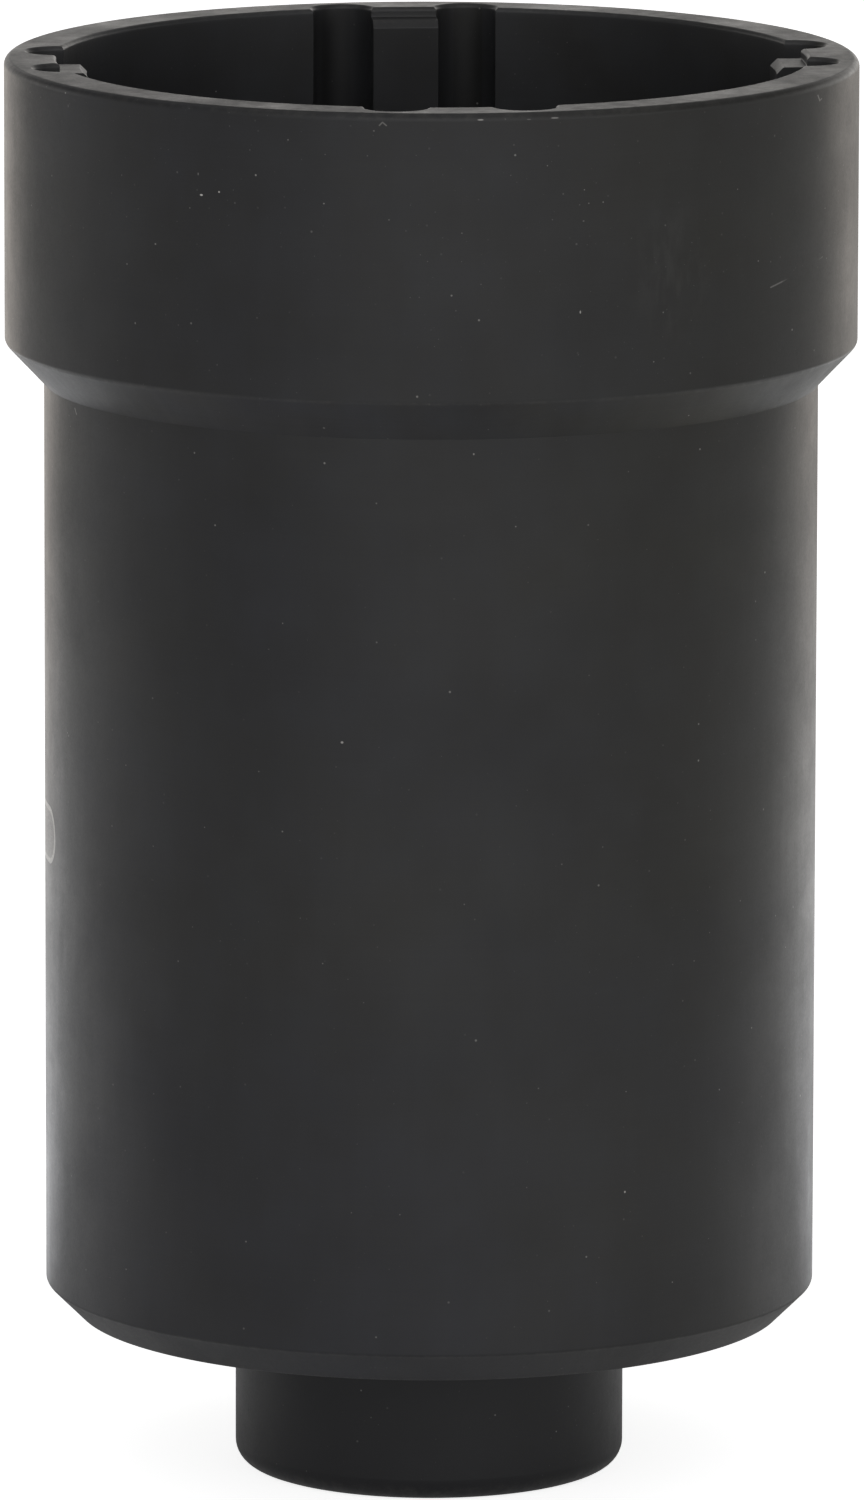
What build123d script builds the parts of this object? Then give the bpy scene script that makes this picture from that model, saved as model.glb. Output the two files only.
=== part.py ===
"""Deep oil filter wrench: a cup that slides over a long filter and turns it by four lugs.

A welded steel fabrication, black finished all over. From the mouth down it is a fluted lug ring, a plain barrel
tube, a base plate and a drive hub with a 3/4 inch square, held by three circumferential welds, each dressed flush
with its neighbours. All lengths are in millimetres. The origin is the centre of the hub's end face, +Z runs up the
axis to the open mouth, and the four lugs point along +X, +Y, -X and -Y.
"""

from build123d import *
from math import pi
import os

os.makedirs("parts", exist_ok=True)

# ---- overall ---------------------------------------------------------------------------------------------------
overall_length = 164.7  # hub end face to mouth
slip = 0.05  # radial clearance of a part slipped into another before welding

# ---- drive hub -------------------------------------------------------------------------------------------------
hub_d = 45.0
hub_length = 18.5  # outside length, end face to base plate
hub_edge_r = 2.6  # rounded end edge
spigot_d = 38.0  # passes through the base plate and ends flush with the cup's floor
square_af = 19.25  # 3/4 inch female square, across flats
square_pilot_d = 20.2  # drilled pilot, a little wider than the flats
lead_in_d = 27.6  # conical lead-in at the end face
lead_in_depth = 3.4
detent_z = 11.0  # detent recess centre above the end face
detent_ball_r = 3.3
detent_depth = 1.6  # below the flat
inner_lead_in = 1.0  # broken edge of the pilot at the cup's floor

# ---- base plate ------------------------------------------------------------------------------------------------
plate_thickness = 10.0
plate_chamfer_r = 3.65  # radial size of the outer chamfer
plate_chamfer_z = 3.6  # axial size of the outer chamfer
plate_corner_r = 0.5  # softened corner between chamfer and side

# ---- barrel tube -----------------------------------------------------------------------------------------------
tube_od = 89.0
tube_id = 79.0
tube_top = 139.0
tube_top_chamfer = 0.5
groove_depth = 4.0  # V groove between tube and plate
groove_half = 2.3  # half its width at the surface

# ---- lug ring --------------------------------------------------------------------------------------------------
ring_od = 98.0
ring_bottom = 129.8  # lower face, at the top of the dressed weld
cone_low = 127.3  # where the shoulder cone meets the tube
cone_high = 132.05  # where it meets the ring's side
cone_edge_r = 0.8
rim_edge_r = 0.9  # outer edge of the mouth
rim_inner_chamfer = 0.6  # round the whole inner edge, flutes included
relief_d = 86.0  # bore between the lugs
relief_floor = 141.0  # floor of the relief and flutes
lug_width = 7.6
lug_drop = 1.15  # lug top below the mouth
lug_tip_bevel = 0.8  # bevelled upper edge of each lug's tip
lug_root_r = 0.2  # at the foot of the step behind each lug
flute_r = 3.45
flute_out = 42.5  # flute centre, measured along its lug's direction
flute_side = lug_width / 2 + flute_r  # flute centre to its lug's centre line
flute_run = 6.0  # straight run of each flute into the bore

# ---- inside weld -----------------------------------------------------------------------------------------------
hub_weld_leg = 3.0  # countersink round the spigot, filled by the weld

# ---- derived ---------------------------------------------------------------------------------------------------
plate_bottom = hub_length
plate_top = plate_bottom + plate_thickness
tube_R = tube_od / 2
bore_R = tube_id / 2
ring_R = ring_od / 2
relief_R = relief_d / 2
spigot_R = spigot_d / 2
lug_top = overall_length - lug_drop
cone_slope = (ring_R - tube_R) / (cone_high - cone_low)
ring_bottom_R = tube_R + (ring_bottom - cone_low) * cone_slope  # the cone's radius at the ring's lower face


# ---- drive hub: turned boss and spigot, broached square, detent recess in each flat ------------------------------
with BuildPart() as hub:
    with BuildSketch(Plane.XZ) as hub_profile:
        with BuildLine():
            Polyline(
                (0, 0),
                (hub_d / 2, 0),
                (hub_d / 2, hub_length),
                (spigot_R, hub_length),
                (spigot_R, plate_top),
                (0, plate_top),
                close=True,
            )
        make_face()
        rim_corners = hub_profile.vertices().group_by(Axis.X)[-1].sort_by(Axis.Z)
        fillet(rim_corners[0], hub_edge_r)
    revolve(axis=Axis.Z)
    with BuildSketch(Plane.XY):
        Rectangle(square_af, square_af)
        Circle(square_pilot_d / 2)
    extrude(amount=plate_top, mode=Mode.SUBTRACT)
    floor_edges = hub.edges().filter_by_position(Axis.Z, plate_top - 0.01, plate_top + 0.01)
    chamfer(floor_edges.filter_by(lambda edge: abs(edge.length - 2 * pi * spigot_R) > 1), inner_lead_in)
    with BuildSketch(Plane.XZ):
        with BuildLine():
            Polyline(
                (0, 0),
                (lead_in_d / 2, 0),
                (lead_in_d / 2 - lead_in_depth, lead_in_depth),
                (0, lead_in_depth),
                close=True,
            )
        make_face()
    revolve(axis=Axis.Z, mode=Mode.SUBTRACT)
    with Locations((0, 0, detent_z)):
        with PolarLocations(square_af / 2 + detent_depth - detent_ball_r, 4):
            Sphere(detent_ball_r, mode=Mode.SUBTRACT)
hub.part.label = "drive_hub"
export_step(hub.part, "parts/drive_hub.step")

# ---- base plate: chamfered disc that the tube stands on, bevelled at the top for its weld ------------------------
with BuildPart() as plate:
    with BuildSketch(Plane.XZ) as plate_profile:
        with BuildLine():
            Polyline(
                (spigot_R + slip, plate_bottom),
                (tube_R - plate_chamfer_r, plate_bottom),
                (tube_R, plate_bottom + plate_chamfer_z),
                (tube_R, plate_top - groove_half),
                (tube_R - groove_depth, plate_top),
                (spigot_R + hub_weld_leg, plate_top),
                (spigot_R + slip, plate_top - hub_weld_leg + slip),
                close=True,
            )
        make_face()
        outer_corners = plate_profile.vertices().group_by(Axis.X)[-1].sort_by(Axis.Z)
        fillet(outer_corners[0], plate_corner_r)
    revolve(axis=Axis.Z)
plate.part.label = "base_plate"
export_step(plate.part, "parts/base_plate.step")

# ---- barrel tube: thick-walled tube, bevelled at the foot for its weld -------------------------------------------
with BuildPart() as tube:
    with BuildSketch(Plane.XZ):
        with BuildLine():
            Polyline(
                (bore_R, plate_top),
                (tube_R - groove_depth, plate_top),
                (tube_R, plate_top + groove_half),
                (tube_R, tube_top - tube_top_chamfer),
                (tube_R - tube_top_chamfer, tube_top),
                (bore_R, tube_top),
                close=True,
            )
        make_face()
    revolve(axis=Axis.Z)
tube.part.label = "barrel_tube"
export_step(tube.part, "parts/barrel_tube.step")

# ---- lug ring: counterbored for the tube, relief and flutes milled from the mouth --------------------------------
with BuildPart() as ring:
    with BuildSketch(Plane.XZ) as ring_profile:
        with BuildLine():
            Polyline(
                (tube_R + slip, ring_bottom),
                (ring_bottom_R, ring_bottom),
                (ring_R, cone_high),
                (ring_R, overall_length),
                (bore_R, overall_length),
                (bore_R, tube_top),
                (tube_R + slip, tube_top),
                close=True,
            )
        make_face()
        side_corners = ring_profile.vertices().group_by(Axis.X)[-1].sort_by(Axis.Z)
        fillet(side_corners[0], cone_edge_r)
        fillet(side_corners[-1], rim_edge_r)
    revolve(axis=Axis.Z)
    # Relief between the lugs. Each lug is left a little wide, and its two flutes cut its sides to width.
    with BuildSketch(Plane.XY.offset(relief_floor)):
        Circle(relief_R)
        with PolarLocations(relief_R, 4):
            Rectangle(4 * (relief_R - bore_R), lug_width + 0.06, mode=Mode.SUBTRACT)
        with PolarLocations(0, 4):
            with Locations((flute_out, flute_side), (flute_out, -flute_side)):
                Circle(flute_r)
            with Locations((flute_out - flute_run / 2, flute_side), (flute_out - flute_run / 2, -flute_side)):
                Rectangle(flute_run, 2 * flute_r)
        Circle(bore_R)
    extrude(amount=overall_length - relief_floor, mode=Mode.SUBTRACT)
    # The lugs stop short of the mouth.
    with BuildSketch(Plane.XY.offset(lug_top)):
        Circle(relief_R)
    extrude(amount=lug_drop, mode=Mode.SUBTRACT)
    lug_arcs = (
        ring.edges().filter_by(GeomType.CIRCLE).filter_by_position(Axis.Z, lug_top - 0.01, lug_top + 0.01)
    )
    chamfer(lug_arcs.filter_by(lambda edge: abs(edge.radius - bore_R) < 0.01), lug_tip_bevel)
    lug_arcs = (
        ring.edges().filter_by(GeomType.CIRCLE).filter_by_position(Axis.Z, lug_top - 0.01, lug_top + 0.01)
    )
    fillet(lug_arcs.filter_by(lambda edge: abs(edge.radius - relief_R) < 0.01), lug_root_r)
    mouth_face = ring.faces().filter_by(Axis.Z).sort_by(Axis.Z)[-1]
    chamfer(mouth_face.inner_wires()[0].edges(), rim_inner_chamfer)
ring.part.label = "lug_ring"
export_step(ring.part, "parts/lug_ring.step")

# ---- ring weld: fillet between ring and tube, turned down so that it carries the shoulder cone on to the tube -----
with BuildPart() as ring_weld:
    with BuildSketch(Plane.XZ):
        with BuildLine():
            Polyline(
                (tube_R, cone_low),
                (ring_bottom_R, ring_bottom),
                (tube_R, ring_bottom),
                close=True,
            )
        make_face()
    revolve(axis=Axis.Z)
ring_weld.part.label = "ring_weld"
export_step(ring_weld.part, "parts/ring_weld.step")

# ---- base weld: V groove between tube and plate, turned flush with both ------------------------------------------
with BuildPart() as base_weld:
    with BuildSketch(Plane.XZ):
        with BuildLine():
            Polyline(
                (tube_R, plate_top - groove_half),
                (tube_R, plate_top + groove_half),
                (tube_R - groove_depth, plate_top),
                close=True,
            )
        make_face()
    revolve(axis=Axis.Z)
base_weld.part.label = "base_weld"
export_step(base_weld.part, "parts/base_weld.step")

# ---- hub weld: fills the countersink round the spigot, flush with the cup's floor --------------------------------
with BuildPart() as hub_weld:
    with BuildSketch(Plane.XZ):
        with BuildLine():
            Polyline(
                (spigot_R, plate_top),
                (spigot_R + hub_weld_leg, plate_top),
                (spigot_R, plate_top - hub_weld_leg),
                close=True,
            )
        make_face()
    revolve(axis=Axis.Z)
hub_weld.part.label = "hub_weld"
export_step(hub_weld.part, "parts/hub_weld.step")
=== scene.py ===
# A blackened steel cup, standing mouth up on the Z axis: a ring with four lugs inside its mouth,
# a barrel tube, and a base plate round a drive hub, joined by welds.
# The lugs point in from +X, +Y, -X and -Y. The camera looks from the -Y side, a little from above.
import math
from functools import reduce
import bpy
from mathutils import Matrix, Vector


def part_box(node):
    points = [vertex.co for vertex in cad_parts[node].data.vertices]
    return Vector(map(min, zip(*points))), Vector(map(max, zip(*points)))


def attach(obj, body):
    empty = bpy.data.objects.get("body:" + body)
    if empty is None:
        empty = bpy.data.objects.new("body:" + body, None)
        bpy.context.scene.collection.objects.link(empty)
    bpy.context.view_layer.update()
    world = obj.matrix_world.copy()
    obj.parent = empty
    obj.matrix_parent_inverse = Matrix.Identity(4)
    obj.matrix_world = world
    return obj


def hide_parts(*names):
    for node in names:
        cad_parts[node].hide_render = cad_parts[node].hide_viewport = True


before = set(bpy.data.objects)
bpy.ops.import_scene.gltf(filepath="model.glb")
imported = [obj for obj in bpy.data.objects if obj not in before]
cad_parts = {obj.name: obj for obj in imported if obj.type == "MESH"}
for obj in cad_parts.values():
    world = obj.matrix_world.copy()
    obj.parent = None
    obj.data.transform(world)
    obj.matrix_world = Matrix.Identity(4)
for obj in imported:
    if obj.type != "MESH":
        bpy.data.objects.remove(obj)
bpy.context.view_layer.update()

from types import SimpleNamespace

import bpy
import bmesh
from mathutils import Matrix, Vector

MM = 0.001
SEGMENTS = 360  # round a full turn

# ---- sizes, in millimetres; heights are read from the CAD pieces ----------------------------------
ring_lo, ring_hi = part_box("lug_ring")
tube_lo, tube_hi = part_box("barrel_tube")
plate_lo, plate_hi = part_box("base_plate")
TOP = ring_hi.z / MM
RING_Z0 = ring_lo.z / MM
TUBE_Z0, TUBE_Z1 = tube_lo.z / MM, tube_hi.z / MM
PLATE_Z0, PLATE_Z1 = plate_lo.z / MM, plate_hi.z / MM
CONE_Z0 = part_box("ring_weld")[0].z / MM
HUB_Z0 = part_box("drive_hub")[0].z / MM

RING_R, TUBE_R, BORE_R, RELIEF_R, HUB_R = 49.0, 44.5, 39.5, 43.0, 22.5
CONE_Z1 = 132.05  # top of the cone that leads from the tube out to the ring
RING_BOT_R = TUBE_R + (RING_Z0 - CONE_Z0) * (RING_R - TUBE_R) / (CONE_Z1 - CONE_Z0)
COUNTERBORE_R = TUBE_R + 0.05
RIM_ROUND = 0.9
FLOOR_Z = 141.0  # floor of the reliefs between the lugs

LUG_TOP = TOP - 1.15
LUG_HALF = 3.8
LUG_ROOT_R = 0.12
LUG_TIP_BEVEL = 0.80
TIP_SOFTENING = 0.10  # softens the corners of the tip's bevel
ROOT_Z = LUG_TOP + LUG_ROOT_R
WALL_ROWS = (158.0, 152.0, 146.0, FLOOR_Z)  # heights shared by the lug's tip and its sides

FLUTE_R, FLUTE_X = 3.45, 42.5  # round groove along each side of a lug
FLUTE_Y = LUG_HALF + FLUTE_R
MOUTH_ROUND_W, MOUTH_ROUND_H = 0.55, 0.52
LUG_STEPS, FLUTE_STEPS, RELIEF_STEPS, FLOOR_STEPS = 8, 30, 30, 40

WELD_PREP_W, WELD_PREP_H = 4.0, 2.3  # chamfers of tube and plate that the base weld fills
TUBE_TOP_CHAMFER = 0.5
FOOT_W, FOOT_H = 3.65, 3.6  # chamfer under the plate
PLATE_HOLE_R, HUB_WELD_R = 19.05, 22.0
HUB_WELD_SIZE = 3.0


# ---- mesh helpers ---------------------------------------------------------------------------------
def rounded(points):
    """Closed (r, z) outline, where corners given as (r, z, fillet radius, steps) are rounded."""
    out = []
    for i, point in enumerate(points):
        if len(point) == 2:
            out.append(point)
            continue
        radius, steps = point[2:]
        corner = Vector(point[:2])
        before = (Vector(points[i - 1][:2]) - corner).normalized()
        after = (Vector(points[(i + 1) % len(points)][:2]) - corner).normalized()
        half = math.acos(max(-1.0, min(1.0, before.dot(after)))) / 2
        setback = radius / math.tan(half)
        centre = corner + (before + after).normalized() * (radius / math.sin(half))
        start = corner + before * setback - centre
        end = corner + after * setback - centre
        angle0, angle1 = math.atan2(start.y, start.x), math.atan2(end.y, end.x)
        sweep = (angle1 - angle0 + math.pi) % (2 * math.pi) - math.pi
        for k in range(steps + 1):
            angle = angle0 + sweep * k / steps
            out.append((centre.x + radius * math.cos(angle), centre.y + radius * math.sin(angle)))
    return out


def split_long(profile, longest, closed=True):
    """Adds points along the long straight runs, so that faces stay well shaped."""
    out = []
    following = profile[1:] + (profile[:1] if closed else [])
    for start, end in zip(profile, following):
        out.append(start)
        extra = int(math.hypot(end[0] - start[0], end[1] - start[1]) / longest)
        for j in range(1, extra + 1):
            t = j / (extra + 1)
            out.append((start[0] + (end[0] - start[0]) * t, start[1] + (end[1] - start[1]) * t))
    return out if closed else out + [profile[-1]]


def circle(bm, radius, z):
    turns = [2 * math.pi * k / SEGMENTS for k in range(SEGMENTS)]
    return [
        bm.verts.new((radius * MM * math.cos(turn), radius * MM * math.sin(turn), z * MM))
        for turn in turns
    ]


def join_rows(bm, rows, columns):
    """Quads between neighbouring rows, each from a column to the next one."""
    for upper, lower in zip(rows, rows[1:]):
        for k in columns:
            bm.faces.new((upper[k], upper[k + 1], lower[k + 1], lower[k]))


def finish_mesh(name, bm, sharp_angle, bevel=0.0):
    """Makes the object. Edges sharper than sharp_angle (degrees) stay sharp; bevel is in mm."""
    bmesh.ops.remove_doubles(bm, verts=bm.verts, dist=1e-8)
    bmesh.ops.recalc_face_normals(bm, faces=bm.faces)
    mesh = bpy.data.meshes.new(name)
    bm.to_mesh(mesh)
    bm.free()
    mesh.shade_smooth()
    mesh.set_sharp_from_angle(angle=math.radians(sharp_angle))
    obj = bpy.data.objects.new(name, mesh)
    bpy.context.scene.collection.objects.link(obj)
    if bevel:
        mod = obj.modifiers.new("broken_edges", "BEVEL")
        mod.limit_method = "ANGLE"
        mod.angle_limit = math.radians(38.0)
        mod.width = bevel * MM
        mod.segments = 2
        mod.use_clamp_overlap = True
    mod = obj.modifiers.new("weighted_normals", "WEIGHTED_NORMAL")
    mod.mode = "FACE_AREA"
    mod.weight = 60
    mod.keep_sharp = True
    return obj


def turned(name, profile):
    """Closed (r, z) profile turned about Z into a ring-shaped solid."""
    bm = bmesh.new()
    rings = [circle(bm, r, z) for r, z in profile]
    for ring, following in zip(rings, rings[1:] + rings[:1]):
        for k in range(SEGMENTS):
            j = (k + 1) % SEGMENTS
            bm.faces.new((ring[k], ring[j], following[j], following[k]))
    return finish_mesh(name, bm, sharp_angle=32.0)


# ---- lug ring -------------------------------------------------------------------------------------
def mouth_outline(offset):
    """The quarter of the mouth round the +X lug, offset outwards: from the middle of the relief on
    the -Y side to the middle of the one on the +Y side."""
    relief, flute = RELIEF_R + offset, FLUTE_R + offset
    # where the flute's circle meets the relief's, on the lug's side
    centre_dist2 = FLUTE_X**2 + FLUTE_Y**2
    centre_dist = math.sqrt(centre_dist2)
    along = (relief * relief - flute * flute + centre_dist2) / (2 * centre_dist)
    across = math.sqrt(relief * relief - along * along)
    unit_x, unit_y = FLUTE_X / centre_dist, FLUTE_Y / centre_dist
    start_x, start_y = along * unit_x + across * unit_y, along * unit_y - across * unit_x
    # where the flute's far side meets the relief
    end_y = FLUTE_Y + flute
    end_x = math.sqrt(relief * relief - end_y * end_y)

    lug_end = math.atan2(start_y, start_x)
    flute_start = math.atan2(start_y - FLUTE_Y, start_x - FLUTE_X)
    relief_start = math.atan2(end_y, end_x)
    upper = []
    for k in range(LUG_STEPS):
        t = lug_end * k / LUG_STEPS
        upper.append((relief * math.cos(t), relief * math.sin(t)))
    for k in range(FLUTE_STEPS + 1):
        t = flute_start + (math.pi / 2 - flute_start) * k / FLUTE_STEPS
        upper.append((FLUTE_X + flute * math.cos(t), FLUTE_Y + flute * math.sin(t)))
    for k in range(RELIEF_STEPS + 1):
        t = relief_start + (math.pi / 4 - relief_start) * k / RELIEF_STEPS
        upper.append((relief * math.cos(t), relief * math.sin(t)))
    return [(x, -y) for x, y in reversed(upper[1:])] + upper


def mouth_edge():
    """Broken edge of the mouth, from the rim down to the lug's root: (offset outwards, height)."""
    edge = []
    for k in range(9):
        t = math.radians(90 * k / 9)
        edge.append((MOUTH_ROUND_W * (1 - math.sin(t)), TOP - MOUTH_ROUND_H * (1 - math.cos(t))))
    return edge + [(0.001, TOP - 0.54), (0.0, ROOT_Z)]


def lug_profile():
    """The lug from its root inwards over its top and down its tip: (radius, height)."""
    profile = []
    for k in range(1, 5):
        t = math.radians(90 * k / 4)
        profile.append(
            (RELIEF_R - LUG_ROOT_R * (1 - math.cos(t)), LUG_TOP + LUG_ROOT_R * (1 - math.sin(t)))
        )
    bevel_r, bevel_z, soft = BORE_R + LUG_TIP_BEVEL, LUG_TOP - LUG_TIP_BEVEL, TIP_SOFTENING
    return profile + [
        (RELIEF_R - 1.2, LUG_TOP),
        (RELIEF_R - 2.0, LUG_TOP),
        (bevel_r + soft, LUG_TOP),
        (bevel_r + soft * 0.3, LUG_TOP - soft * 0.12),
        (bevel_r - soft * 0.6, LUG_TOP - soft * 0.7),
        (BORE_R + soft * 0.7, bevel_z + soft * 0.6),
        (BORE_R + soft * 0.12, bevel_z - soft * 0.3),
        (BORE_R, bevel_z - soft),
        *((BORE_R, z) for z in WALL_ROWS),
    ]


def lug_half_width(radius):
    """Half width of the lug at a radius: parallel sides, then the start of the flute's own arc."""
    if math.sqrt(radius * radius - LUG_HALF**2) <= FLUTE_X:
        return LUG_HALF
    y = LUG_HALF
    for _ in range(12):
        x = math.sqrt(radius * radius - y * y)
        y = FLUTE_Y - math.sqrt(max(0.0, FLUTE_R**2 - (x - FLUTE_X) ** 2))
    return y


def add_quarter(bm, quarter):
    """One lug with the flutes and half reliefs beside it, turned by quarters of a turn."""
    turn_cos, turn_sin = ((1, 0), (0, 1), (-1, 0), (0, -1))[quarter]
    lug_columns = 2 * LUG_STEPS

    def vert(x, y, z):
        turned_x, turned_y = x * turn_cos - y * turn_sin, x * turn_sin + y * turn_cos
        return bm.verts.new((turned_x * MM, turned_y * MM, z * MM))

    def arc(radius, z, start, end, steps):
        angles = [math.radians(start + (end - start) * k / steps) for k in range(steps + 1)]
        return [vert(radius * math.cos(t), radius * math.sin(t), z) for t in angles]

    def across_lug(radius, half_width, z):
        widths = [half_width * (2 * k / lug_columns - 1) for k in range(lug_columns + 1)]
        return [vert(math.sqrt(radius * radius - y * y), y, z) for y in widths]

    edge_rows = [[vert(x, y, z) for x, y in mouth_outline(offset)] for offset, z in mouth_edge()]
    rim, root = edge_rows[0], edge_rows[-1]
    count = len(rim)
    middle = count // 2
    lug0, lug1 = middle - LUG_STEPS, middle + LUG_STEPS  # the lug's ends in the outline
    join_rows(bm, edge_rows, range(count - 1))

    # walls of the flutes and the relief, down to their floor
    outline = mouth_outline(0.0)
    walls = [root]
    for z in (LUG_TOP, LUG_TOP - 2.0, *WALL_ROWS):
        walls.append(
            [None if lug0 < k < lug1 else vert(x, y, z) for k, (x, y) in enumerate(outline)]
        )
    join_rows(bm, walls, [*range(lug0), *range(lug1, count - 1)])

    # the lug: its profile swept across its width, then its two sides
    lug = [root[lug0 : lug1 + 1]]
    lug += [across_lug(r, lug_half_width(r), z) for r, z in lug_profile()]
    join_rows(bm, lug, range(lug_columns))
    for end, column in ((0, lug0), (lug_columns, lug1)):
        bm.faces.new([row[end] for row in lug] + [row[column] for row in walls[:0:-1]])

    # flat rim, in two faces
    steps = SEGMENTS // 4
    outer = arc(RING_R - RIM_ROUND, TOP, -45, 45, steps)
    bm.faces.new(rim[: middle + 1] + outer[: steps // 2 + 1][::-1])
    bm.faces.new(rim[middle:] + outer[steps // 2 :][::-1])

    # floor of the relief on each side of the lug, and the bore's wall below it
    lug_angle = math.degrees(math.asin(LUG_HALF / BORE_R))
    for start, end, foot in (
        (-45.0, -lug_angle, walls[-1][: lug0 + 1]),
        (lug_angle, 45.0, walls[-1][lug1:]),
    ):
        inner = arc(BORE_R, FLOOR_Z, start, end, FLOOR_STEPS)
        bm.faces.new(foot + inner[::-1])
        below = [bm.verts.new((top.co.x, top.co.y, TUBE_Z1 * MM)) for top in inner]
        join_rows(bm, [inner, below], range(FLOOR_STEPS))
    join_rows(bm, [lug[-1], across_lug(BORE_R, LUG_HALF, TUBE_Z1)], range(lug_columns))


def add_outside(bm):
    """Outside of the ring, its cone, and the counterbore that takes the tube."""
    profile = rounded(
        [
            (RING_R - RIM_ROUND, TOP),
            (RING_R, TOP, RIM_ROUND, 10),
            (RING_R, CONE_Z1, 0.8, 8),
            (RING_BOT_R, RING_Z0),
            (COUNTERBORE_R, RING_Z0),
            (COUNTERBORE_R, TUBE_Z1),
        ]
    )
    # the rim's round starts on the first point, so one of the two goes
    profile = [p for i, p in enumerate(profile) if i == 0 or math.dist(p, profile[i - 1]) > 1e-6]
    rings = [circle(bm, r, z) for r, z in split_long(profile, 4.0, closed=False)]
    for upper, lower in zip(rings, rings[1:]):
        for k in range(SEGMENTS):
            j = (k + 1) % SEGMENTS
            bm.faces.new((upper[k], lower[k], lower[j], upper[j]))


def add_underside(bm):
    """Underside of the web between the counterbore and the bore, one flat face per eighth."""

    def angle(vert):
        return math.atan2(vert.co.y, vert.co.x) % (2 * math.pi)

    def span(ring, start, end):
        part = [vert for vert in ring if start - 1e-6 <= angle(vert) <= end + 1e-6]
        closes = end > 2 * math.pi - 1e-6 and angle(ring[0]) < 1e-6
        return part + ([ring[0]] if closes else [])

    hem = [vert for vert in bm.verts if abs(vert.co.z - TUBE_Z1 * MM) < 1e-9]
    hem.sort(key=angle)
    inner = [vert for vert in hem if math.hypot(vert.co.x, vert.co.y) < (BORE_R + 1) * MM]
    outer = [vert for vert in hem if math.hypot(vert.co.x, vert.co.y) > (TUBE_R - 1) * MM]
    cuts = [math.pi * k / 4 for k in range(9)]
    for start, end in zip(cuts, cuts[1:]):
        bm.faces.new(span(inner, start, end) + span(outer, start, end)[::-1])


def build_ring():
    bm = bmesh.new()
    for quarter in range(4):
        add_quarter(bm, quarter)
    bmesh.ops.remove_doubles(bm, verts=bm.verts, dist=2e-7)
    add_outside(bm)
    bmesh.ops.remove_doubles(bm, verts=bm.verts, dist=2e-7)
    add_underside(bm)
    return finish_mesh("lug_ring_skin", bm, sharp_angle=30.0, bevel=0.16)


# ---- turned pieces: closed (r, z) profiles --------------------------------------------------------
TUBE = [
    (BORE_R, TUBE_Z0),
    (TUBE_R - WELD_PREP_W, TUBE_Z0),
    (TUBE_R, TUBE_Z0 + WELD_PREP_H),
    (TUBE_R, TUBE_Z1 - TUBE_TOP_CHAMFER),
    (TUBE_R - TUBE_TOP_CHAMFER, TUBE_Z1),
    (BORE_R, TUBE_Z1),
]
PLATE = [
    (PLATE_HOLE_R, PLATE_Z0),
    (TUBE_R - FOOT_W, PLATE_Z0, 0.30, 5),
    (TUBE_R, PLATE_Z0 + FOOT_H, 0.50, 6),
    (TUBE_R, PLATE_Z1 - WELD_PREP_H),
    (TUBE_R - WELD_PREP_W, PLATE_Z1),
    (HUB_WELD_R, PLATE_Z1),
    (PLATE_HOLE_R, PLATE_Z1 - (HUB_WELD_R - PLATE_HOLE_R)),
]
RING_WELD = [(TUBE_R, CONE_Z0), (RING_BOT_R, RING_Z0), (TUBE_R, RING_Z0)]
BASE_WELD = [
    (TUBE_R, PLATE_Z1 - WELD_PREP_H),
    (TUBE_R, PLATE_Z1 + WELD_PREP_H),
    (TUBE_R - WELD_PREP_W, PLATE_Z1),
]
HUB_WELD = [
    (HUB_WELD_R - HUB_WELD_SIZE, PLATE_Z1),
    (HUB_WELD_R, PLATE_Z1),
    (HUB_WELD_R - HUB_WELD_SIZE, PLATE_Z1 - HUB_WELD_SIZE),
]

pieces = {  # by the CAD node each one replaces
    "lug_ring": build_ring(),
    "barrel_tube": turned("barrel_tube_skin", split_long(TUBE, 6.0)),
    "base_plate": turned("base_plate_skin", split_long(rounded(PLATE), 5.0)),
    "ring_weld": turned("ring_weld_skin", RING_WELD),
    "base_weld": turned("base_weld_skin", BASE_WELD),
    "hub_weld": turned("hub_weld_skin", HUB_WELD),
}
for node_name, piece in pieces.items():
    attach(piece, "root")
    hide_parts(node_name)


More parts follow.
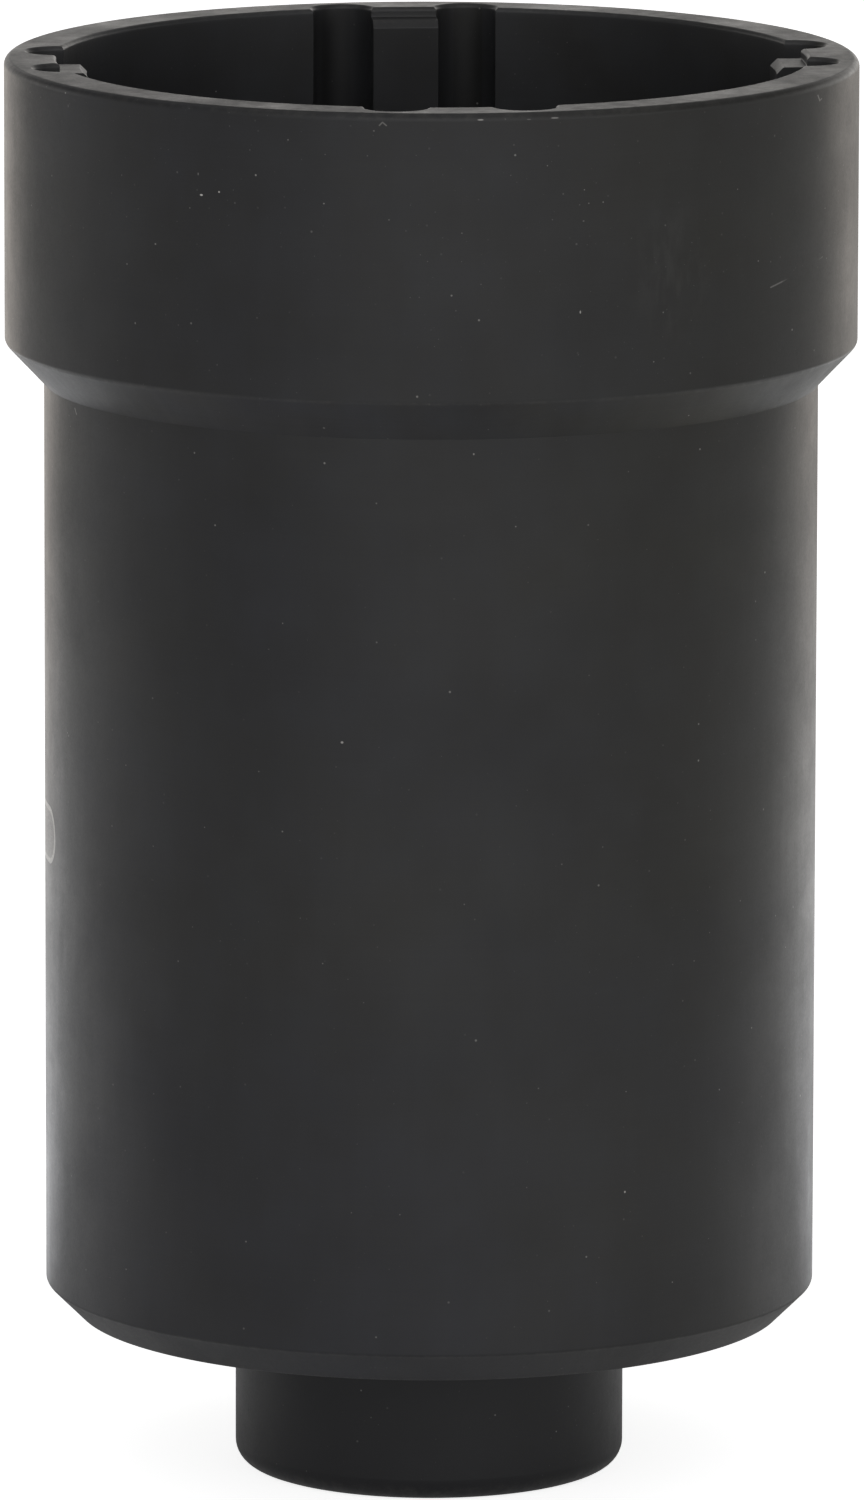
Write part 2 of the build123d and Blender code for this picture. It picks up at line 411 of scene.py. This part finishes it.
# ---- node helpers ---------------------------------------------------------------------------------
class Tree:
    """Short-hand for building a node tree. A value is a number, a tuple or an output socket."""

    def __init__(self, owner):
        owner.use_nodes = True
        self.tree = owner.node_tree
        self.tree.nodes.clear()

    def node(self, kind, sockets=None, **props):
        node = self.tree.nodes.new(kind)
        for name, value in props.items():
            setattr(node, name, value)
        for key, value in (sockets or {}).items():
            if hasattr(value, "is_output"):
                self.tree.links.new(value, node.inputs[key])
            else:
                node.inputs[key].default_value = value
        return node

    def shader(self, kind, sockets=None):
        return self.node(kind, sockets).outputs[0]

    def math(self, operation, *values, clamp=False):
        sockets = dict(enumerate(values))
        node = self.node("ShaderNodeMath", sockets, operation=operation, use_clamp=clamp)
        return node.outputs[0]

    def add(self, *values):
        return reduce(lambda a, b: self.math("ADD", a, b), values)

    def mul(self, *values):
        return reduce(lambda a, b: self.math("MULTIPLY", a, b), values)

    def most(self, values):
        return reduce(lambda a, b: self.math("MAXIMUM", a, b), values)

    def sub(self, a, b):
        return self.math("SUBTRACT", a, b)

    def above(self, value, limit):
        return self.math("GREATER_THAN", value, limit)

    def below(self, value, limit):
        return self.math("LESS_THAN", value, limit)

    def hypot(self, a, b):
        return self.math("SQRT", self.add(self.mul(a, a), self.mul(b, b)))

    def vec(self, operation, *values):
        sockets = dict(enumerate(values))
        node = self.node("ShaderNodeVectorMath", sockets, operation=operation)
        return node.outputs["Value" if operation in ("LENGTH", "DOT_PRODUCT") else 0]

    def scale(self, vector, factor):
        sockets = {0: vector, "Scale": factor}
        return self.node("ShaderNodeVectorMath", sockets, operation="SCALE").outputs[0]

    def split(self, vector, kind="XYZ"):
        return self.node("ShaderNodeSeparate" + kind, {0: vector}).outputs

    def noise(self, vector, scale, detail=3.0, roughness=0.5):
        sockets = {"Vector": vector, "Scale": scale, "Detail": detail, "Roughness": roughness}
        return self.node("ShaderNodeTexNoise", sockets).outputs["Fac"]

    def streaks(self, axes, density, detail, roughness):
        """Noise with its own density along each axis; low density gives long streaks."""
        scaled = [self.mul(axis, amount) if amount else 0.0 for axis, amount in zip(axes, density)]
        vector = self.node("ShaderNodeCombineXYZ", dict(enumerate(scaled))).outputs[0]
        return self.noise(vector, scale=1.0, detail=detail, roughness=roughness)

    def linear(self, value, span, to=(0.0, 1.0), kind="LINEAR"):
        """Maps the span of the value onto the range to."""
        sockets = {"Value": value, "From Min": span[0], "From Max": span[1]}
        sockets |= {"To Min": to[0], "To Max": to[1]}
        return self.node("ShaderNodeMapRange", sockets, interpolation_type=kind).outputs["Result"]

    def smooth(self, value, span, to=(0.0, 1.0)):
        return self.linear(value, span, to, kind="SMOOTHSTEP")

    def mix(self, factor, a, b):
        sockets = {0: factor, 6: a, 7: b}
        return self.node("ShaderNodeMix", sockets, data_type="RGBA").outputs[2]

    def mix_shader(self, factor, a, b):
        return self.shader("ShaderNodeMixShader", {0: factor, 1: a, 2: b})


# ---- blackened finish -----------------------------------------------------------------------------
BASE, ROUGHNESS = 0.0186, 0.40
TEXTURE_SHIFT = (0.0, 0.0, 0.0)
DUST_AND_GLINT_COLOUR = (0.62, 0.60, 0.57, 1)
RUBBED_COLOUR = (0.085, 0.080, 0.074, 1)
TINT_WARM = (BASE * 1.01, BASE, BASE * 0.97, 1)
TINT_COOL = (BASE * 0.97, BASE, BASE * 1.04, 1)
MATT_COLOUR = (BASE * 1.6, BASE * 1.6, BASE * 1.6, 1)
HUE_BLUE, HUE_BRONZE, HUE_INSIDE = (0.97, 1.0, 1.36, 1), (1.04, 1.0, 0.78, 1), (1.0, 1.0, 1.07, 1)
CONE_PAINTED_LIGHT, INSIDE_PAINTED_LIGHT = 1.15, 0.38  # painted light: how much paler the cone and the upright inner faces are painted, for the light they catch
INSIDE_HUE = 0.85  # how far the inner faces take their own hue
RUB_COLOUR, SMUDGE_COLOUR = 0.30, 0.018  # strength of each over the finish
RUB_GLOSS, DUST_ROUGH, CONE_ROUGH = 0.06, 0.12, 0.12  # change of roughness
DRIFT_X, DRIFT_FOOT, DRIFT_FOOT_Z = 0.022, 0.010, 75.0  # hue change per mm, and where it starts
UNDER_PLATE = (PLATE_Z0 - 0.8, PLATE_Z0 + 0.8)
USUAL = (0.3, 0.7)  # the range that most of a noise lies in
GRAIN_BUMP, LINES_BUMP = 0.0000040, 0.0000025  # depths in metres

# Smudge on the ring: angle in degrees, height, half width and half height
SMUDGE_ANGLE, SMUDGE_Z, SMUDGE_HALF_W, SMUDGE_HALF_H = -61.0, 145.5, 7.5, 10.5
# Plain etched bar on the barrel: angle in degrees, height, half length, end radius
ETCH_ANGLE, ETCH_Z, ETCH_HALF, ETCH_R = 175.3, 75.4, 11.6, 3.35

# Edges where the finish is rubbed: (radius, height, reach)
RUBBED_EDGES = (
    (RING_R - 0.25, TOP - 0.25, 0.9),
    (RING_R - 0.05, CONE_Z1 + 0.05, 0.7),
    (TUBE_R - 0.05, PLATE_Z0 + 3.55, 0.6),
    (TUBE_R - 3.6, PLATE_Z0 + 0.05, 0.6),
    (HUB_R - 0.6, HUB_Z0 + 0.7, 2.2),
)
# Fine dust: (cells per mm, share left bare, smallest and largest size in cells, brightness)
DUST_LAYERS = ((0.70, 0.25, 0.055, 0.105, 0.42), (1.25, 0.30, 0.055, 0.095, 0.18))
# Specks of dust and small nicks, and painted glints on the rim's outer round: (angle, radius,
# height, half width, half height, strength)
SPECKS_AND_GLINTS = [
    (233.9, 49.0, 154.54, 0.24, 0.13, 1.00), (236.6, 49.0, 155.05, 0.13, 0.13, 0.85),
    (285.5, 49.0, 142.03, 0.10, 0.22, 0.75), (226.4, 49.0, 148.44, 0.15, 0.10, 0.45),
    (221.3, 49.0, 145.74, 0.12, 0.12, 0.35), (222.8, 49.0, 139.15, 0.12, 0.15, 0.35),
    (233.4, 49.0, 156.88, 0.10, 0.20, 0.25), (285.9, 49.0, 152.30, 0.14, 0.10, 0.22),
    (208.1, 49.0, 163.93, 0.16, 0.10, 0.45), (208.8, 49.0, 162.53, 0.09, 0.22, 0.22),
    (295.5, 44.5, 39.96, 0.13, 0.16, 0.75), (252.7, 44.5, 92.60, 0.20, 0.16, 0.60),
    (271.8, 44.5, 125.63, 0.12, 0.14, 0.50), (232.5, 44.5, 116.34, 0.12, 0.12, 0.40),
    (321.3, 44.5, 56.28, 0.12, 0.12, 0.35), (243.6, 44.5, 81.99, 0.12, 0.12, 0.30),
    (319.2, 44.5, 164.70, 0.75, 0.60, 0.06), (320.6, 44.6, 164.70, 0.90, 0.60, 0.09),
    # the three spots at radius 48.92 are painted glints, highlights where small nicks on the rim's
    # outer round catch the light
    (322.2, 44.9, 164.70, 0.75, 0.60, 0.06), (272.0, 48.92, 164.04, 0.42, 0.10, 0.55),
    (281.9, 48.92, 164.05, 0.55, 0.10, 0.40), (278.4, 48.92, 163.98, 0.30, 0.08, 0.18),
]
# Light scratches: (angle, radius, height) of both ends, half width, strength
SCRATCHES = [
    ((317.0, 49.0, 142.55), (319.6, 49.0, 142.95), 0.08, 0.24),
    ((319.6, 49.0, 142.95), (330.5, 49.0, 144.60), 0.07, 0.13),
    ((328.7, 49.0, 163.25), (329.3, 49.0, 162.60), 0.09, 0.35),
    ((329.3, 49.0, 162.60), (329.9, 49.0, 162.75), 0.08, 0.25),
    ((258.8, 49.0, 163.40), (259.2, 49.0, 163.75), 0.07, 0.22),
    ((259.2, 49.0, 163.75), (259.7, 49.0, 163.40), 0.07, 0.22),
    ((200.0, 44.5, 126.65), (200.6, 44.5, 126.05), 0.08, 0.35),
    ((117.0, 44.5, 88.00), (119.5, 44.5, 79.50), 0.06, 0.16),
    ((41.0, 44.5, 61.00), (49.5, 44.5, 58.20), 0.06, 0.16),
    ((75.0, 49.0, 150.50), (81.5, 49.0, 147.90), 0.07, 0.18),
]


def point_at(degrees, radius, z):
    turn = math.radians(degrees)
    return Vector((radius * math.cos(turn), radius * math.sin(turn), z))


def read_surface(tree):
    """Where a point of the steel lies, in mm about the axis, and the patterns laid over it."""
    place = tree.scale(tree.node("ShaderNodeTexCoord").outputs["Object"], 1 / MM)
    x, y, z = tree.split(place)
    radius = tree.hypot(x, y)
    angle = tree.math("ARCTAN2", y, x)
    axes = (angle, radius, z)
    normal = tree.node("ShaderNodeNewGeometry").outputs["Normal"]
    cloth = tree.vec("ADD", place, TEXTURE_SHIFT)
    return SimpleNamespace(
        place=place, x=x, y=y, z=z, radius=radius, angle=angle, axes=axes, cloth=cloth,
        tilt=tree.math("ABSOLUTE", tree.split(normal)[2]),  # 0 on upright faces, 1 on level ones
        # blotches of the finish, from broad to fine
        broad=tree.noise(cloth, scale=0.028, detail=3.0, roughness=0.55),
        medium=tree.noise(cloth, scale=0.12, detail=4.0, roughness=0.6),
        mottled=tree.noise(cloth, scale=0.7, detail=4.0, roughness=0.65),
        grain=tree.noise(cloth, scale=3.2, detail=3.0, roughness=0.6),
        # turning lines run round the axis, faint wipe marks along it
        lines=tree.streaks(axes, density=(1.4, 4.0, 4.0), detail=3.0, roughness=0.6),
        wipe=tree.streaks(axes, density=(22.0, 0.0, 0.045), detail=3.0, roughness=0.55),
    )


def add_layers(tree, value, layers):
    """Adds each pattern, mapped from its span to a range of change."""
    for pattern, span, change in layers:
        value = tree.add(value, tree.linear(pattern, span, to=change))
    return value


def cone_mask(tree, surf):
    level = tree.math("COMPARE", surf.z, (CONE_Z0 + CONE_Z1) / 2, 2.6)
    sloped = tree.smooth(surf.tilt, span=(0.30, 0.60))
    return tree.mul(level, sloped, tree.above(surf.radius, TUBE_R - 0.1))


def inside_mask(tree, surf):
    """Everything inside the cup, above the plate."""
    within = tree.below(surf.radius, FLUTE_X + FLUTE_R + 0.2)
    inside = tree.mul(within, tree.above(surf.z, PLATE_Z1 - 0.05))
    outer_wall = tree.mul(
        tree.above(surf.radius, TUBE_R - 0.3), tree.below(surf.z, FLOOR_Z - 1.0)
    )
    return tree.mul(inside, tree.sub(1.0, outer_wall))


def finish_colour(tree, surf, cone):
    """The plain finish: a shade that varies, with painted light on the cone and the upright inner
    faces and painted shade below the plate, times a tint that drifts in hue.
    """
    inside = inside_mask(tree, surf)
    shade = tree.linear(surf.broad, USUAL, to=(0.87, 1.13))
    shade = add_layers(tree, shade, (
        (surf.medium, USUAL, (-0.10, 0.10)),
        (surf.mottled, USUAL, (-0.06, 0.06)),
        (surf.grain, (0.25, 0.75), (-0.10, 0.10)),
        (surf.lines, USUAL, (-0.05, 0.05)),
        (surf.wipe, (0.35, 0.75), (-0.03, 0.06)),
    ))
    # painted light and shade: the cone is painted paler, what lies below the plate is painted darker
    # as the shade under the plate, and upright inner faces are painted a little paler
    shade = tree.mul(shade, tree.add(1.0, tree.mul(cone, CONE_PAINTED_LIGHT)))
    shade = tree.mul(shade, tree.linear(surf.z, UNDER_PLATE, to=(0.34, 1.0)))
    upright = tree.smooth(surf.tilt, span=(0.9, 0.6))
    shade = tree.mul(shade, tree.add(1.0, tree.mul(inside, upright, INSIDE_PAINTED_LIGHT)))

    # the hue drifts from a little bronze towards +X to a little blue towards the foot
    foot = tree.sub(tree.math("MINIMUM", surf.z, DRIFT_FOOT_Z), DRIFT_FOOT_Z)
    sideways = tree.mul(tree.math("MAXIMUM", surf.x, 0.0), DRIFT_X)
    drift = add_layers(tree, tree.add(sideways, tree.mul(foot, DRIFT_FOOT)), (
        (surf.z, UNDER_PLATE, (-0.25, 0.1)),
        (surf.broad, USUAL, (-0.35, 0.35)),
    ))
    hue = tree.mix(tree.linear(drift, span=(-1.0, 1.2)), HUE_BLUE, HUE_BRONZE)
    hue = tree.mix(tree.mul(inside, INSIDE_HUE), hue, HUE_INSIDE)
    tint = tree.mix(tree.linear(surf.medium, span=(0.35, 0.65)), TINT_WARM, TINT_COOL)
    return tree.scale(tree.vec("MULTIPLY", tint, hue), shade)


def rub_mask(tree, surf):
    """Rubbed edges: rounds and chamfers, which lie between the level and the upright faces."""
    between = tree.mul(
        tree.smooth(surf.tilt, span=(0.12, 0.45)), tree.smooth(surf.tilt, span=(0.99, 0.90))
    )
    near = []
    for radius, z, reach in RUBBED_EDGES:
        distance = tree.hypot(tree.sub(surf.radius, radius), tree.sub(surf.z, z))
        near.append(tree.smooth(distance, span=(reach, reach * 0.15)))
    lip = tree.mul(
        tree.smooth(surf.z, span=(TOP - 1.8, TOP - 1.2)),
        tree.smooth(surf.radius, span=(RING_R - 1.5, RING_R - 2.5)),
    )
    patches = tree.noise(surf.cloth, scale=0.9, detail=5.0, roughness=0.7)
    edge = tree.mul(tree.most([*near, lip]), between)
    return tree.mul(edge, tree.smooth(patches, span=(0.38, 0.72)))


def smudge_mask(tree, surf):
    """A dry smudge on the outside of the ring."""
    turn = tree.sub(surf.angle, math.radians(SMUDGE_ANGLE))
    sideways = tree.mul(turn, RING_R / SMUDGE_HALF_W)
    upwards = tree.math("DIVIDE", tree.sub(surf.z, SMUDGE_Z), SMUDGE_HALF_H)
    near = tree.smooth(tree.hypot(sideways, upwards), span=(1.0, 0.35))
    streak = tree.streaks(surf.axes, density=(30.0, 0.3, 0.22), detail=4.0, roughness=0.6)
    streak = tree.smooth(streak, span=(0.42, 0.70))
    return tree.mul(near, streak, tree.above(surf.radius, RING_R - 1.0))


def fine_dust(tree, surf, scale, bare, smallest, largest, brightness):
    """Many faint small specks and few bright ones, denser towards the mouth."""
    vector = tree.vec("ADD", surf.cloth, (scale * 50, 3.0, 7.0))
    cells = tree.node("ShaderNodeTexVoronoi", {"Vector": vector, "Scale": scale}, feature="F1")
    draw = tree.split(cells.outputs["Color"], kind="Color")
    size = tree.linear(draw[1], span=(0.0, 1.0), to=(smallest, largest))
    inside = tree.smooth(tree.sub(size, cells.outputs["Distance"]), span=(0.0, 0.03))
    limit = tree.linear(surf.z, span=(120.0, 150.0), to=(bare + 0.38, bare))
    bright = tree.add(tree.mul(tree.math("POWER", draw[2], 5.0), brightness), 0.050)
    return tree.mul(inside, tree.above(draw[0], limit), bright)


# one ellipsoid spot, for the dust specks, nicks and painted glints
def speck_and_glint(tree, surf, degrees, radius, z, half_width, half_height, strength):
    offset = tree.vec("SUBTRACT", surf.place, tuple(point_at(degrees, radius, z)))
    offset = tree.vec("DIVIDE", offset, (half_width, half_width, half_height))
    return tree.smooth(tree.vec("LENGTH", offset), span=(1.0, 0.55), to=(0.0, strength))


def scratch(tree, surf, start, end, half_width, strength):
    start, end = point_at(*start), point_at(*end)
    run = end - start
    offset = tree.vec("SUBTRACT", surf.place, tuple(start))
    dot = tree.vec("DOT_PRODUCT", offset, tuple(run))
    share = tree.math("MULTIPLY", dot, 1.0 / run.length_squared, clamp=True)
    distance = tree.vec("LENGTH", tree.vec("SUBTRACT", offset, tree.scale(tuple(run), share)))
    return tree.smooth(distance, span=(half_width * 1.6, half_width * 0.5), to=(0.0, strength))


def etch_mask(tree, surf):
    """Plain rounded bar etched on the barrel, hatched, with a slightly brighter outline."""
    turn = tree.sub(surf.angle, math.radians(ETCH_ANGLE))
    along = tree.mul(tree.math("WRAP", turn, math.pi, -math.pi), TUBE_R)
    upwards = tree.sub(surf.z, ETCH_Z)
    past = tree.sub(tree.math("ABSOLUTE", along), ETCH_HALF - ETCH_R)
    distance = tree.hypot(tree.math("MAXIMUM", past, 0.0), upwards)
    on_tube = tree.mul(
        tree.math("COMPARE", surf.radius, TUBE_R, 0.3), tree.below(surf.tilt, 0.3)
    )
    patch = tree.mul(tree.smooth(distance, span=(ETCH_R + 0.05, ETCH_R - 0.05)), on_tube)
    outline = tree.mul(patch, tree.smooth(distance, span=(ETCH_R - 0.75, ETCH_R - 0.45)))
    axes = (along, None, upwards)
    hatch = tree.streaks(axes, density=(0.6, 0.0, 9.0), detail=2.0, roughness=0.5)
    fill = tree.mul(patch, tree.linear(hatch, USUAL, to=(0.20, 0.40)))
    return tree.add(fill, tree.mul(outline, 0.45))


def finish_roughness(tree, surf, rub, dust_and_glints, cone):
    value = tree.linear(surf.medium, USUAL, to=(ROUGHNESS - 0.03, ROUGHNESS + 0.03))
    value = add_layers(tree, value, (
        (surf.mottled, USUAL, (-0.015, 0.015)),
        (surf.grain, (0.25, 0.75), (-0.02, 0.02)),
    ))
    value = tree.sub(value, tree.linear(surf.wipe, span=(0.5, 0.8), to=(0.0, 0.03)))
    value = tree.sub(value, tree.mul(rub, RUB_GLOSS))
    return tree.add(value, tree.mul(dust_and_glints, DUST_ROUGH), tree.mul(cone, CONE_ROUGH))


def finish_bump(tree, surf):
    fine = {"Strength": 1.0, "Distance": GRAIN_BUMP, "Height": surf.grain}
    lines = {"Strength": 1.0, "Distance": LINES_BUMP, "Height": surf.lines}
    lines["Normal"] = tree.shader("ShaderNodeBump", fine)
    return tree.shader("ShaderNodeBump", lines)


def dull_mask(tree, surf):
    # level faces at the mouth are patchy, and duller towards -Y
    level = tree.smooth(surf.tilt, span=(0.90, 0.98))
    flat = tree.mul(level, tree.above(surf.z, TOP - 1.3))
    patchy = tree.linear(surf.medium, USUAL, to=(-0.12, 0.12))
    patchy = add_layers(tree, patchy, ((surf.mottled, USUAL, (-0.07, 0.07)),))
    sideways = tree.linear(surf.y, span=(15.0, -25.0), to=(0.08, 0.24))
    mouth = tree.mul(flat, tree.add(sideways, patchy))
    # the whole finish has cloudy dull patches and a fine dry grain
    shifted = tree.vec("ADD", surf.cloth, (11.0, 23.0, 5.0))
    cloud = tree.noise(shifted, scale=0.055, detail=3.0, roughness=0.55)
    uneven = add_layers(tree, tree.linear(cloud, span=(0.46, 0.68), to=(0.0, 0.15)), (
        (surf.grain, USUAL, (0.0, 0.11)),
        (surf.mottled, USUAL, (-0.02, 0.03)),
    ))
    return tree.math("ADD", mouth, uneven, clamp=True)


def blackened(name):
    """Satin black finish over turned steel, worked out from position alone."""
    mat = bpy.data.materials.new(name)
    tree = Tree(mat)
    surf = read_surface(tree)
    cone = cone_mask(tree, surf)
    rub = rub_mask(tree, surf)
    # dust, nicks and scratches, with painted glints among the specks
    dust_and_glints = tree.most(
        [fine_dust(tree, surf, *layer) for layer in DUST_LAYERS]
        + [speck_and_glint(tree, surf, *entry) for entry in SPECKS_AND_GLINTS]
        + [scratch(tree, surf, *entry) for entry in SCRATCHES]
    )
    colour = finish_colour(tree, surf, cone)
    colour = tree.mix(tree.mul(rub, RUB_COLOUR), colour, RUBBED_COLOUR)
    colour = tree.mix(tree.mul(smudge_mask(tree, surf), SMUDGE_COLOUR), colour, DUST_AND_GLINT_COLOUR)
    # the pale colour of dust, nicks and scratches, and of the painted glints
    colour = tree.mix(dust_and_glints, colour, DUST_AND_GLINT_COLOUR)
    colour = tree.mix(etch_mask(tree, surf), colour, DUST_AND_GLINT_COLOUR)
    satin = tree.shader("ShaderNodeBsdfPrincipled", {
        "Base Color": colour,
        "Roughness": finish_roughness(tree, surf, rub, dust_and_glints, cone),
        "Metallic": 0.0,
        "IOR": 1.5,
        "Specular IOR Level": tree.linear(cone, span=(0.0, 1.0), to=(0.5, 0.30)),
        "Normal": finish_bump(tree, surf),
    })
    matt = tree.shader("ShaderNodeBsdfDiffuse", {"Color": MATT_COLOUR})
    blend = tree.mix_shader(dull_mask(tree, surf), satin, matt)
    tree.node("ShaderNodeOutputMaterial", {0: blend})
    return mat


steel = blackened("blackened_steel_mat")
weld = blackened("blackened_weld_mat")
for node_name, piece in pieces.items():
    piece.data.materials.append(weld if "weld" in node_name else steel)
for material_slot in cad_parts["drive_hub"].material_slots:
    material_slot.material = steel

# ---- floor ----------------------------------------------------------------------------------------
floor_mesh = bpy.data.meshes.new("floor")
floor_bm = bmesh.new()
bmesh.ops.create_grid(floor_bm, x_segments=2, y_segments=2, size=6.0)
for corner in floor_bm.verts:
    corner.co.z = -0.0001
floor_bm.to_mesh(floor_mesh)
floor_bm.free()
floor = bpy.data.objects.new("floor", floor_mesh)
bpy.context.scene.collection.objects.link(floor)
floor_mat = bpy.data.materials.new("pale_floor")
floor_mesh.materials.append(floor_mat)

# ---- camera: angles in radians, places in metres --------------------------------------------------
ELEVATION, AZIMUTH, ROLL = math.radians(10.267), math.radians(-4.4), math.radians(0.114)
DISTANCE = 1.73935
TARGET = Vector((0, 0, 0.0839))
back = Vector((
    math.sin(AZIMUTH) * math.cos(ELEVATION),
    -math.cos(AZIMUTH) * math.cos(ELEVATION),
    math.sin(ELEVATION),
))
right = Vector((math.cos(AZIMUTH), math.sin(AZIMUTH), 0.0))
facing = Matrix((right, back.cross(right), back)).transposed().to_4x4()
cam_data = bpy.data.cameras.new("camera")
cam = bpy.data.objects.new("camera", cam_data)
bpy.context.scene.collection.objects.link(cam)
cam.matrix_world = (
    Matrix.Translation(TARGET + back * DISTANCE) @ facing @ Matrix.Rotation(ROLL, 4, "Z")
)
cam_data.sensor_fit = "VERTICAL"
cam_data.sensor_height = 36.0
cam_data.lens = 361.44
cam_data.shift_x = 0.0011333333
cam_data.clip_start = 0.05
cam_data.clip_end = 50.0
bpy.context.scene.camera = cam

# ---- light: one soft studio surround, as rings of brightness round the object's axis --------------
# Brightness by azimuth in degrees: 0 towards the camera, 180 behind the object, + to its right.
LOW = {
    -168: 1.25, -157: 0.80, -145: 0.82, -130: 1.15, -110: 0.84, -80: 0.32, -50: 0.52, -25: 0.88,
    0: 0.99, 25: 1.12, 50: 1.15, 80: 0.64, 110: 0.51, 130: 1.33, 145: 1.90, 157: 1.92, 168: 1.80,
    180: 1.80,
}
MIDDLE = {
    -135: 0.09, -90: 0.09, -45: 0.56, 0: 1.07, 45: 0.47, 90: 0.09, 135: 0.09, 180: 0.18,
}
OVERHEAD = 0.42
FLOOR_NEAR = {
    -170: 0.97, -157: 1.75, -145: 2.45, -130: 0.21, -110: 0.61, -80: 0.21, -50: 0.18, 0: 0.28,
    50: 0.30, 80: 0.21, 110: 0.86, 130: 0.27, 145: 1.77, 157: 0.02, 170: 0.66,
}
FLOOR_MID = {
    -170: 1.11, -157: 1.45, -145: 1.40, -130: 0.88, -110: 0.53, -80: 0.15, -50: 0.05, 0: 0.31,
    50: 0.17, 80: 0.14, 110: 0.33, 130: 1.15, 145: 1.81, 157: 1.27, 170: 1.18,
}
FLOOR_FAR = {
    -170: 0.73, -157: 1.85, -145: 0.34, -130: 0.02, -110: 0.08, -80: 0.02, -50: 0.02, 0: 0.22,
    50: 0.03, 80: 0.02, 110: 0.02, 130: 0.02, 145: 1.06, 157: 0.63, 170: 0.02,
}
FLOOR_SHADE, FLOOR_FOOT = 0.05, 0.13  # under the object: further out, and at its foot
FLOOR_SEEN, HOLE_PAINTED_SHADOW = 0.84, 0.03  # the floor to the camera: open, and through the drive square, where it is painted dark as the hub's shadow
CAMERA_SIDE = math.atan2(-math.cos(AZIMUTH), math.sin(AZIMUTH))
RANGE = 4.0  # ramps hold brightness divided by this
WARM, PALE, EVEN, COOL = (1.10, 1.0, 0.90), (1.03, 1.0, 0.96), (1.0, 1.0, 1.0), (0.99, 1.0, 1.03)


def around(tree, x, y):
    """Azimuth from the camera's side, as 0 to 1 from -180 to 180 degrees."""
    turn = tree.sub(tree.math("ARCTAN2", y, x), CAMERA_SIDE)
    turn = tree.math("WRAP", turn, math.pi, -math.pi)
    return tree.linear(turn, span=(-math.pi, math.pi))


def ring_ramp(tree, factor, table, far_hue):
    """The table as a colour ramp, even towards the camera and far_hue behind the object."""
    ramp = tree.node("ShaderNodeValToRGB", {0: factor})
    keys = sorted(table)
    seam = table[180] if 180 in table else (table[keys[0]] + table[keys[-1]]) / 2
    stops = [(-180, seam)] + [(key, table[key]) for key in keys if key != 180] + [(180, seam)]
    elements = ramp.color_ramp.elements
    for azimuth, _ in stops[1:-1]:
        elements.new((azimuth + 180) / 360)
    for element, (azimuth, level) in zip(elements, stops):
        far = min(1.0, max(0.0, (abs(azimuth) - 90) / 50))
        hue = [even * (1 - far) + tinted * far for even, tinted in zip(EVEN, far_hue)]
        element.color = (*(level / RANGE * part for part in hue), 1)
    return ramp.outputs[0]


def grey(tree, factor):
    return tree.scale((1.0 / RANGE,) * 3, factor)


def build_world():
    world = bpy.data.worlds.new("studio")
    bpy.context.scene.world = world
    tree = Tree(world)
    x, y, z = tree.split(tree.node("ShaderNodeTexCoord").outputs["Generated"])
    elevation = tree.mul(tree.math("ARCSINE", z), 180 / math.pi)
    side = around(tree, x, y)
    low = tree.linear(elevation, span=(4.0, 26.0), to=(1.0, 0.0))
    high = tree.linear(elevation, span=(36.0, 66.0))
    middle = tree.sub(tree.sub(1.0, low), high)
    light = tree.vec(
        "ADD",
        tree.scale(ring_ramp(tree, side, LOW, PALE), low),
        tree.scale(ring_ramp(tree, side, MIDDLE, EVEN), middle),
    )
    light = tree.vec("ADD", light, tree.scale((OVERHEAD / RANGE,) * 3, high))
    studio = tree.shader("ShaderNodeBackground", {"Color": light, "Strength": RANGE})
    plain = tree.shader("ShaderNodeBackground", {"Color": (1, 1, 1, 1)})
    to_camera = tree.node("ShaderNodeLightPath").outputs["Is Camera Ray"]
    tree.node("ShaderNodeOutputWorld", {0: tree.mix_shader(to_camera, studio, plain)})


def shade_floor():
    """Pale and evenly lit to the camera, apart from a painted shadow seen through the drive square,
    with rings of brightness in what the steel reflects.
    """
    tree = Tree(floor_mat)
    to_camera = tree.node("ShaderNodeLightPath").outputs["Is Camera Ray"]
    x, y, _ = tree.split(tree.node("ShaderNodeTexCoord").outputs["Object"])
    distance = tree.hypot(x, y)
    side = around(tree, x, y)
    # distances in metres over which each ring takes over from the one inside it
    near = tree.linear(distance, span=(0.08, 0.15))
    mid = tree.linear(distance, span=(0.17, 0.33))
    far = tree.linear(distance, span=(0.38, 0.65))
    foot = tree.smooth(distance, span=(0.045, 0.075), to=(FLOOR_FOOT, FLOOR_SHADE))
    glow = grey(tree, tree.mul(foot, tree.sub(1.0, near)))
    outwards = tree.linear(distance, span=(0.65, 0.95), to=(0.84, 1.06))
    for table, share, hue in (
        (FLOOR_NEAR, tree.sub(near, mid), COOL),
        (FLOOR_MID, tree.sub(mid, far), EVEN),
        (FLOOR_FAR, tree.mul(far, outwards), WARM),
    ):
        glow = tree.vec("ADD", glow, tree.scale(ring_ramp(tree, side, table, hue), share))
    # painted shadow: the floor under the hub, seen through the drive square, is painted dark
    seen = tree.smooth(distance, span=(0.0140, 0.0150), to=(HOLE_PAINTED_SHADOW, FLOOR_SEEN))
    glow = tree.mix(to_camera, glow, grey(tree, seen))
    emission = tree.shader("ShaderNodeEmission", {"Color": glow, "Strength": RANGE})
    diffuse = tree.shader("ShaderNodeBsdfDiffuse", {"Color": (0.8, 0.8, 0.8, 1)})
    lit = tree.shader("ShaderNodeAddShader", {0: diffuse, 1: emission})
    # clear to a camera below it, so that the underside can be looked at
    from_below = tree.mul(tree.node("ShaderNodeNewGeometry").outputs["Backfacing"], to_camera)
    clear = tree.shader("ShaderNodeBsdfTransparent")
    tree.node("ShaderNodeOutputMaterial", {0: tree.mix_shader(from_below, lit, clear)})


build_world()
shade_floor()

bpy.context.scene.view_settings.view_transform = "Standard"
bpy.context.scene.view_settings.look = "None"
